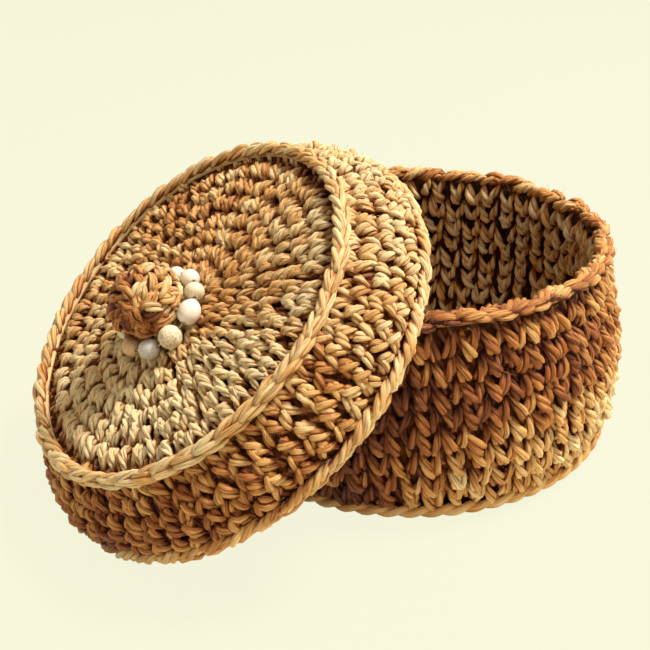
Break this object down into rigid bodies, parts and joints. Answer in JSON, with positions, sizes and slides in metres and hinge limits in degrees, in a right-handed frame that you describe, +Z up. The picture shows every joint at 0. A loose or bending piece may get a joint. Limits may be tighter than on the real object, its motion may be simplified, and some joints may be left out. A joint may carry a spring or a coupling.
{
  "type": "crocheted lidded box",
  "caption": "Round crocheted grass-cord box with a flared lift-off lid leaning on its rim, a ball knob and a strand of seed beads round the knob's foot.",
  "frame": {"origin": "centre of the box's flat underside, on the ground", "axes": "+Z up along the box's axis; +X away from the side that the lid leans on, so the lid leans towards -X"},
  "size_m": [0.1866, 0.1338, 0.0944],
  "materials": {
    "floor_cord": "crocheted two-ply grass cord, brown, matt",
    "foot_cord": "twisted grass rope, tan, matt",
    "wall_cord": "crocheted two-ply grass cord, orange brown above and tan below",
    "rim_cord": "chain plait of grass cord, tan",
    "corner_cord": "chain plait of grass cord, pale straw",
    "lid_cord": "crocheted two-ply grass cord, straw with orange brown at the middle",
    "skirt_cord": "crocheted two-ply grass cord, golden orange",
    "edge_cord": "chain plait of grass cord, golden tan",
    "knob_cord": "crocheted grass cord, straw and orange brown",
    "stuffing": "plain fibre",
    "tie_cord": "twisted grass cord",
    "strand_thread": "waxed thread",
    "seed_white": "smooth seed, satin",
    "seed_cream": "smooth seed, satin, with fine pits",
    "seed_pearl": "pearly seed, glossy",
    "seed_speckled": "dry seed, matt, finely speckled",
    "seed_grey": "smooth grey seed, satin",
    "seed_tan": "smooth seed, matt"
  },
  "bodies": {
    "box": {"box_floor": "floor_cord", "foot_rope": "foot_cord", "box_wall": "wall_cord", "rim_braid": "rim_cord"},
    "lid": {"corner_braid": "corner_cord", "lid_top": "lid_cord", "lid_skirt": "skirt_cord", "edge_braid": "edge_cord", "knob_cover": "knob_cord", "knob_stuffing": "stuffing", "knob_tie": "tie_cord"},
    "bead_strand": {"strand_cord": "strand_thread", "bead_1": "seed_white", "bead_2": "seed_white", "bead_3": "seed_cream", "bead_4": "seed_pearl", "bead_5": "seed_speckled", "bead_6": "seed_grey", "bead_7": "seed_tan", "bead_8": "seed_cream", "bead_9": "seed_grey", "bead_10": "seed_white"}
  },
  "joints": [
    {"name": "lid_lift", "type": "slide", "parent": "box", "child": "lid", "axis": [0, 0, 1], "range_m": [0, 0.1]},
    {"name": "strand_turn", "type": "hinge", "parent": "lid", "child": "bead_strand", "pos_m": [-0.08106, 0, 0.05499], "axis": [-0.6347, 0, 0.7727], "continuous": true}
  ]
}
